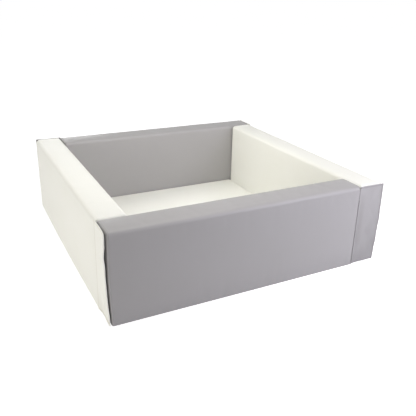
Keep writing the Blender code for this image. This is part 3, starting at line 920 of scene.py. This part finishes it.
def make_hem_thread(turns, name, colour, lie):
    """The thread of a flap's hems, on both of its faces."""
    low = Vector((FLAP_LOW.x + STITCH_START, FLAP_LOW.y, FLAP_LOW.z + HEM_WIDTH))
    high = Vector((FLAP_HIGH.x - HEM_WIDTH, FLAP_LOW.y, FLAP_HIGH.z - HEM_WIDTH))
    rows = [stitch_row(X, low, high.x - low.x),
            stitch_row(X, Vector((low.x, low.y, high.z)), high.x - low.x),
            stitch_row(Z, Vector((high.x, low.y, low.z)), high.z - low.z)]
    outer = join(rows)
    piece = join([outer, moved_copy(outer, Vector((0, FLAP_HIGH.y - FLAP_LOW.y, 0)))])
    piece.name = name + "_hem_thread"
    lay_flap(piece, lie, turns + FLAP_SEED)
    dress(piece, THREAD[colour])
    turn(piece, turns)
    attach(piece, name + "_flap_leaf")
    return piece


def backing_strip(name, low, high, across, bend_pitch):
    """The woven backing of a tape, with rounded corners, cut so that it can bend."""
    piece = box_between(name, low, high)
    along = Y if across == X else X
    round_edges(piece, along_corners(low, high, across), TAPE_CORNER_RADIUS, 3)
    for axis in (along, Z):
        cut_across(piece, axis, even_places(low[axis] + TAPE_CORNER_RADIUS,
                                            high[axis] - TAPE_CORNER_RADIUS, bend_pitch))
    return piece


def tape_rows(low, high, axes, pitch):
    """How many hooks or loops fit along each of two axes of a tape, and their margins."""
    counts = [int((high[axis] - low[axis] - TAPE_BARE_EDGE) / pitch) for axis in axes]
    margins = [(high[axis] - low[axis] - (count - 1) * pitch) / 2
               for axis, count in zip(axes, counts)]
    return counts, margins


def make_hook_tape(turns, name, colour, lie):
    """Hook tape on the inside of a flap: rows of small moulded hooks on a strip."""
    low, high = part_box("front_hook_tape")
    strip_high = Vector((high.x, low.y + TAPE_BACKING, high.z))
    strip = backing_strip(name + "_hooked_tape", low, strip_high, Y, HOOK_TAPE_PANEL)
    counts, margins = tape_rows(low, high, (X, Z), HOOK_PITCH)
    foot = Vector((low.x + margins[0], low.y + TAPE_BACKING - TAPE_SINK, low.z + margins[1]))
    room = high.y - foot.y
    bpy.ops.object.select_all(action='DESELECT')
    bpy.ops.mesh.primitive_plane_add(size=HOOK_WIDTH, location=foot, rotation=(QUARTER_TURN, 0, 0))
    hook = bpy.context.object
    bpy.ops.object.transform_apply(location=True, rotation=True, scale=True)
    bpy.ops.object.mode_set(mode='EDIT')
    bpy.ops.mesh.select_all(action='SELECT')
    for outwards, rise in HOOK_STEPS:
        step = (0, room * outwards, rise)
        bpy.ops.mesh.extrude_region_move(TRANSFORM_OT_translate={"value": step})
    bpy.ops.mesh.select_all(action='SELECT')
    bpy.ops.mesh.normals_make_consistent(inside=False)
    object_mode()
    repeat(hook, X, counts[0], HOOK_PITCH)
    repeat(hook, Z, counts[1], HOOK_PITCH)
    piece = join([strip, hook])
    lay_flap(piece, lie, turns + FLAP_SEED)
    dress(piece, HOOK_TAPE[colour])
    turn(piece, turns)
    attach(piece, name + "_flap_leaf")
    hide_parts(name + "_hook_tape")


def make_loop_tape(turns, name, colour):
    """Loop tape on the end panel of a wall: a brushed pile of small loops on a strip."""
    low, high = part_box("front_loop_tape")
    strip_low = Vector((high.x - TAPE_BACKING, low.y, low.z))
    strip = backing_strip(name + "_looped_tape", strip_low, high, X, LOOP_TAPE_PANEL)
    counts, margins = tape_rows(low, high, (Y, Z), LOOP_PITCH)
    foot = Vector((high.x - TAPE_BACKING, low.y + margins[0], low.z + margins[1]))
    bpy.ops.object.select_all(action='DESELECT')
    bpy.ops.mesh.primitive_torus_add(major_segments=10, minor_segments=3, major_radius=LOOP_RADIUS,
                                     minor_radius=LOOP_STRAND, location=foot,
                                     rotation=(LOOP_TILT, 0, 0))
    loop = bpy.context.object
    bpy.ops.object.transform_apply(location=True, rotation=True, scale=True)
    bpy.ops.object.mode_set(mode='EDIT')
    bpy.ops.mesh.select_all(action='SELECT')
    bpy.ops.mesh.bisect(plane_co=foot + Vector((TAPE_SINK, 0, 0)), plane_no=(1, 0, 0),
                        clear_outer=True, use_fill=True)
    object_mode()
    repeat(loop, Y, counts[0], LOOP_PITCH)
    repeat(loop, Z, counts[1], LOOP_PITCH)
    places = places_of(loop)
    for axis, seed in zip((Y, Z), LOOP_SEEDS):
        places[:, axis] += LOOP_DISORDER * waver(places, LOOP_DISORDER_LENGTH, seed)
    move_corners(loop, places)
    piece = join([strip, loop])
    lay_end(piece)
    dress(piece, LOOP_TAPE[colour])
    turn(piece, turns)
    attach(piece, name + "_wall")
    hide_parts(name + "_loop_tape")


def make_zip_chain(turns, node, own_node, body):
    """Closed zip: two woven tapes with a row of coil teeth on each, and a stop at each end."""
    low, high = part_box(node)
    middle = (low + high) / 2
    tape_low_z = middle.z - ZIP_TAPE_THICKNESS / 2
    tape_high_z = middle.z + ZIP_TAPE_THICKNESS / 2
    slit = ZIP_SLIT / 2
    tapes = []
    for side in (-1, 1):
        inner = middle.y + side * (slit + ZIP_TAPE_ROUNDING)
        near, far = sorted((inner, low.y if side < 0 else high.y))
        tape_low = Vector((low.x, near, tape_low_z))
        tape_high = Vector((high.x, far, tape_high_z))
        tape = box_between("zip_tape", tape_low, tape_high)
        round_edges(tape, along_corners(tape_low, tape_high, X), ZIP_TAPE_ROUNDING, 2)
        cut_across(tape, X, even_places(low.x, high.x, ZIP_TAPE_PANEL))
        dress(tape, ZIP_TAPE)
        tapes.append(tape)
    run = high.x - low.x - 2 * ZIP_BARE_END
    count = int(run / TOOTH_PITCH) - 1
    tooth_width = COIL_WIDTH / 2 - slit
    teeth = []
    for side in (-1, 1):
        start = middle.x - (count - 1) * TOOTH_PITCH / 2 + side * TOOTH_PITCH / 4
        centre = Vector((start, middle.y + side * (slit + tooth_width / 2), middle.z))
        half = Vector((TOOTH_LENGTH, tooth_width, high.z - low.z)) / 2
        tooth = box_between("zip_tooth", centre - half, centre + half)
        round_edges(tooth, lambda start, end: True, TOOTH_BEVEL, 1)
        repeat(tooth, X, count, TOOTH_PITCH)
        dress(tooth, ZIP_COIL)
        teeth.append(tooth)
    for side in (-1, 1):
        inner = middle.x + side * (run / 2 + STOP_CLEARANCE)
        near, far = sorted((inner, inner + side * STOP_LENGTH))
        stop = box_between("zip_stop", Vector((near, middle.y - COIL_WIDTH / 2, low.z)),
                           Vector((far, middle.y + COIL_WIDTH / 2, high.z)))
        round_edges(stop, lambda start, end: True, STOP_BEVEL, 2)
        dress(stop, ZIP_COIL)
        teeth.append(stop)
    piece = join(tapes + teeth)
    piece.name = own_node.replace("chain", "coil_and_tape")
    turn(piece, turns)
    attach(piece, body)
    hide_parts(own_node)


def seen_directly(owner):
    """1 for the camera and for reflections and refractions, 0 for the light on the pit."""
    rays = add_node(owner, "ShaderNodeLightPath").outputs
    seen = add_node(owner, "ShaderNodeMath", {"operation": 'MAXIMUM'},
                    links={0: rays["Is Camera Ray"], 1: rays["Is Glossy Ray"]})
    seen = add_node(owner, "ShaderNodeMath", {"operation": 'MAXIMUM'},
                    links={0: seen.outputs[0], 1: rays["Is Transmission Ray"]})
    return seen.outputs[0]


def make_floor():
    """Plain pale floor, which a camera sees as white wherever no shadow falls."""
    bpy.ops.object.select_all(action='DESELECT')
    bpy.ops.mesh.primitive_plane_add(size=FLOOR_SIZE, location=(0, 0, -FLOOR_DROP))
    floor = bpy.context.object
    floor.name = "studio_floor"
    material = new_material("matt_white_studio_floor")
    bounce = add_node(material, "ShaderNodeBsdfDiffuse", sockets={"Color": hex_colour("F2F2F2")})
    shadowed = add_node(material, "ShaderNodeBsdfDiffuse", sockets={"Color": hex_colour("C4C4C4")})
    glow = add_node(material, "ShaderNodeEmission",
                    sockets={"Color": hex_colour("FFFFFF"), "Strength": FLOOR_GLOW})
    white = add_node(material, "ShaderNodeAddShader",
                     links={0: shadowed.outputs[0], 1: glow.outputs[0]})
    shown = add_node(material, "ShaderNodeMixShader",
                     links={0: seen_directly(material), 1: bounce.outputs[0],
                            2: white.outputs[0]})
    floor.data.materials.append(finish_material(material, shown))


def make_world():
    """White surround: plain light on the pit, and pure white to the camera and in reflections."""
    world = bpy.data.worlds.new("white_surround")
    world.use_nodes = True
    world.node_tree.nodes.clear()
    bpy.context.scene.world = world
    strength = add_node(world, "ShaderNodeMapRange",
                        sockets={"To Min": SURROUND_LIGHT, "To Max": 1.0},
                        links={"Value": seen_directly(world)})
    light = add_node(world, "ShaderNodeBackground", sockets={"Color": hex_colour("FFFFFF")},
                     links={"Strength": strength.outputs["Result"]})
    add_node(world, "ShaderNodeOutputWorld", links={"Surface": light.outputs[0]})


def add_softbox(name, place, aim, size, power, colour, spread):
    """A square area light that points at a place, with a grid on it where its spread is small."""
    light = bpy.data.lights.new(name, 'AREA')
    light.shape = 'SQUARE'
    light.color = hex_colour(colour)[:3]
    light.size = size
    light.energy = power
    light.spread = math.radians(spread)
    lamp = bpy.data.objects.new(name, light)
    lamp.location = place
    lamp.rotation_mode = 'QUATERNION'
    lamp.rotation_quaternion = (Vector(aim) - Vector(place)).to_track_quat('-Z', 'Y')
    bpy.context.scene.collection.objects.link(lamp)


def make_camera():
    """The camera that took the photograph."""
    lens = bpy.data.cameras.new("photo_camera")
    lens.sensor_width = SENSOR_WIDTH_MM
    lens.lens = FOCAL_LENGTH_PX / PHOTO_WIDTH_PX * SENSOR_WIDTH_MM
    lens.shift_y = UPWARD_SHIFT
    camera = bpy.data.objects.new("photo_camera", lens)
    flat = math.cos(CAMERA_ELEVATION)
    back = Vector((math.sin(CAMERA_AZIMUTH) * flat, -math.cos(CAMERA_AZIMUTH) * flat,
                   math.sin(CAMERA_ELEVATION)))
    level = Vector((0, 0, 1)).cross(back).normalized()
    right = Matrix.Rotation(CAMERA_ROLL, 3, back) @ level
    turned = Matrix((right, back.cross(right), back)).transposed().to_4x4()
    camera.matrix_world = Matrix.Translation(CAMERA_PLACE) @ turned
    bpy.context.scene.collection.objects.link(camera)
    bpy.context.scene.camera = camera


# Each leatherette: its colour, its cloudy tone and the colour of its painted shade
LEATHERETTE = {
    "grey": leatherette("grey_vinyl_leatherette", "A7A5A6", "A4A2A2", "858384"),
    "ivory": leatherette("ivory_vinyl_leatherette", "F4F4EE", "F2F2EA", "D8D5C8"),
}
THREAD = {
    "grey": polyester_thread("grey_polyester_thread", "A3A1A4"),
    "ivory": polyester_thread("ivory_polyester_thread", "ECE8DC"),
}
HOOK_TAPE = {
    "grey": nylon_tape("grey_nylon_hook_tape", "97969A", "7F7E82", 0.1),
    "ivory": nylon_tape("ivory_nylon_hook_tape", "E8E4D8", "D5D0C2", 0.1),
}
LOOP_TAPE = {
    "grey": nylon_tape("grey_nylon_loop_pile", "949396", "7A797D", 0.6),
    "ivory": nylon_tape("ivory_nylon_loop_pile", "ECE8DC", "D9D4C6", 0.6),
}
ZIP_TAPE = nylon_tape("grey_polyester_zip_tape", "939296", "828186", 0.1)
ZIP_COIL = moulded_nylon("grey_nylon_zip_coil", "8C8B90")
FOAM = open_cell_foam()
NICKEL = plated_nickel()

make_camera()
for turns, (name, colour, foot_bulge, gap, lie) in enumerate(WALLS):
    make_wall_cover(turns, name, colour, foot_bulge, gap)
    make_foam_block(turns, "front_foam_core", "front_zip_chain", name + "_wall", gap)
    make_flap(turns, name, colour, lie)
    make_hook_tape(turns, name, colour, lie)
    make_loop_tape(turns, name, colour)
    make_zip_chain(turns, "front_zip_chain", name + "_zip_chain", name + "_wall")
make_mat_cover()
make_foam_block(0, "mat_foam_core", "mat_zip_chain", "floor_mat")
make_zip_chain(0, "mat_zip_chain", "mat_zip_chain", "floor_mat")
for name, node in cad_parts.items():
    if name.endswith(("_zip_slider", "_zip_pull")):
        node.data.materials.clear()
        node.data.materials.append(NICKEL)

make_floor()
make_world()
for softbox in SOFTBOXES:
    add_softbox(*softbox)
bpy.context.scene.view_settings.view_transform = 'Standard'
